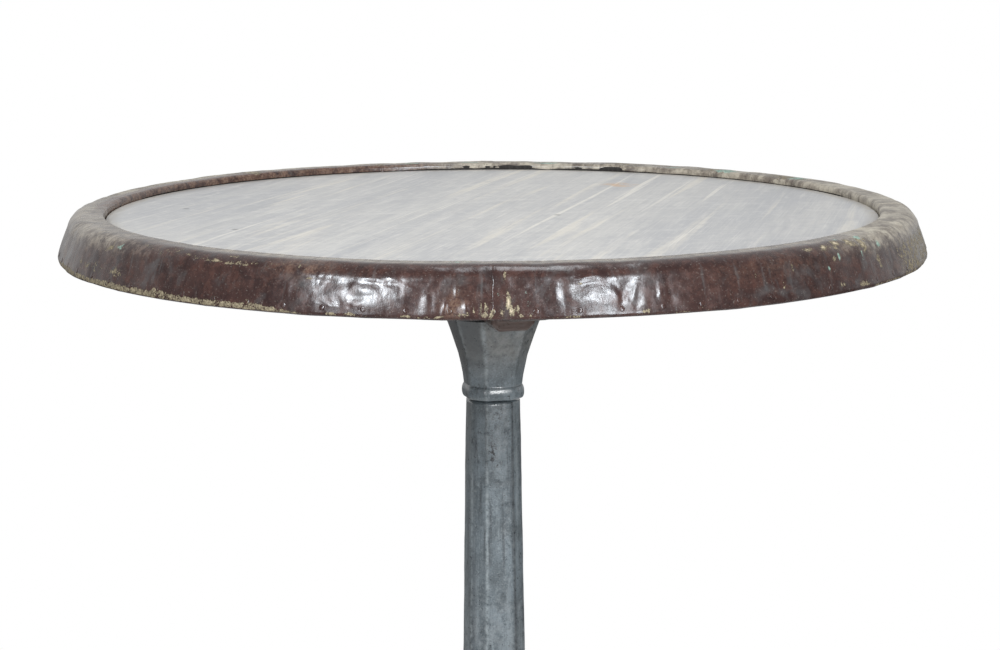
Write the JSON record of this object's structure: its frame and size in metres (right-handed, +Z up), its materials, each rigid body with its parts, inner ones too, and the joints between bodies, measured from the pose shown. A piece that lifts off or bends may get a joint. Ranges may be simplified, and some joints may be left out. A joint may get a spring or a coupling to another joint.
{
  "type": "bistro table",
  "caption": "Round pedestal cafe table: stone slab inset in a metal-clad wooden rim, faceted tapered cast-iron column, cross base with screw levelling glides.",
  "frame": {"origin": "on the floor under the middle of the table", "axes": "+Z up; +X and +Y along two neighbouring legs of the base and arms of the spider"},
  "size_m": [0.7998, 0.7998, 0.7427],
  "materials": {
    "marble": "honed pale grey marble",
    "putty": "dry putty",
    "rim_sheet": "hammered sheet, worn glossy dark brown paint",
    "tacks": "painted over",
    "wood": "raw old oak",
    "cast_iron": "blue-grey waxed paint",
    "steel": "dull oiled steel",
    "glide_pad": "blackened",
    "glide_sole": "matt"
  },
  "bodies": {
    "table": {"base_hub": "cast_iron", "base_leg_1": "cast_iron", "base_leg_2": "cast_iron", "base_leg_3": "cast_iron", "base_leg_4": "cast_iron", "board_tongue_1": "wood", "board_tongue_2": "wood", "board_tongue_3": "wood", "capital_dowel": "steel", "column_capital": "cast_iron", "column_shaft": "cast_iron", "hub_dowel": "steel", "leg_bolt_washers": "steel", "leg_bolts": "steel", "marble_slab": "marble", "rim_cladding_1": "rim_sheet", "rim_cladding_2": "rim_sheet", "rim_cladding_3": "rim_sheet", "rim_cladding_4": "rim_sheet", "rim_felloe_1": "wood", "rim_felloe_2": "wood", "rim_felloe_3": "wood", "rim_felloe_4": "wood", "rim_felloe_5": "wood", "rim_felloe_6": "wood", "rim_felloe_7": "wood", "rim_felloe_8": "wood", "rim_screws": "steel", "rim_side_tacks": "tacks", "rim_under_tacks": "tacks", "slab_bedding": "putty", "spider_screws": "steel", "tie_rod": "steel", "tie_rod_bottom_nut": "steel", "tie_rod_bottom_washer": "steel", "tie_rod_top_nut": "steel", "tie_rod_top_washer": "steel", "top_board_1": "wood", "top_board_2": "wood", "top_board_3": "wood", "top_board_4": "wood", "top_spider": "cast_iron"},
    "pad_1": {"glide_pad_1": "glide_pad", "glide_sole_1": "glide_sole"},
    "stem_1": {"glide_stem_1": "steel"},
    "pad_2": {"glide_pad_2": "glide_pad", "glide_sole_2": "glide_sole"},
    "stem_2": {"glide_stem_2": "steel"},
    "pad_3": {"glide_pad_3": "glide_pad", "glide_sole_3": "glide_sole"},
    "stem_3": {"glide_stem_3": "steel"},
    "pad_4": {"glide_pad_4": "glide_pad", "glide_sole_4": "glide_sole"},
    "stem_4": {"glide_stem_4": "steel"}
  },
  "joints": [
    {"name": "level_1", "type": "slide", "parent": "table", "child": "pad_1", "axis": [0, 0, -1], "range_m": [-0.003, 0.009]},
    {"name": "stem_turn_1", "type": "hinge", "parent": "pad_1", "child": "stem_1", "pos_m": [0.262, 0, 0], "axis": [0, 0, -1], "range_deg": [-720, 2160]},
    {"name": "level_2", "type": "slide", "parent": "table", "child": "pad_2", "axis": [0, 0, -1], "range_m": [-0.003, 0.009]},
    {"name": "stem_turn_2", "type": "hinge", "parent": "pad_2", "child": "stem_2", "pos_m": [0, 0.262, 0], "axis": [0, 0, -1], "range_deg": [-720, 2160]},
    {"name": "level_3", "type": "slide", "parent": "table", "child": "pad_3", "axis": [0, 0, -1], "range_m": [-0.003, 0.009]},
    {"name": "stem_turn_3", "type": "hinge", "parent": "pad_3", "child": "stem_3", "pos_m": [-0.262, 0, 0], "axis": [0, 0, -1], "range_deg": [-720, 2160]},
    {"name": "level_4", "type": "slide", "parent": "table", "child": "pad_4", "axis": [0, 0, -1], "range_m": [-0.003, 0.009]},
    {"name": "stem_turn_4", "type": "hinge", "parent": "pad_4", "child": "stem_4", "pos_m": [0, -0.262, 0], "axis": [0, 0, -1], "range_deg": [-720, 2160]}
  ],
  "couplings": [
    {"joint": "level_1", "follows": "stem_turn_1", "m_per_rad": 0.00023873},
    {"joint": "level_2", "follows": "stem_turn_2", "m_per_rad": 0.00023873},
    {"joint": "level_3", "follows": "stem_turn_3", "m_per_rad": 0.00023873},
    {"joint": "level_4", "follows": "stem_turn_4", "m_per_rad": 0.00023873}
  ]
}
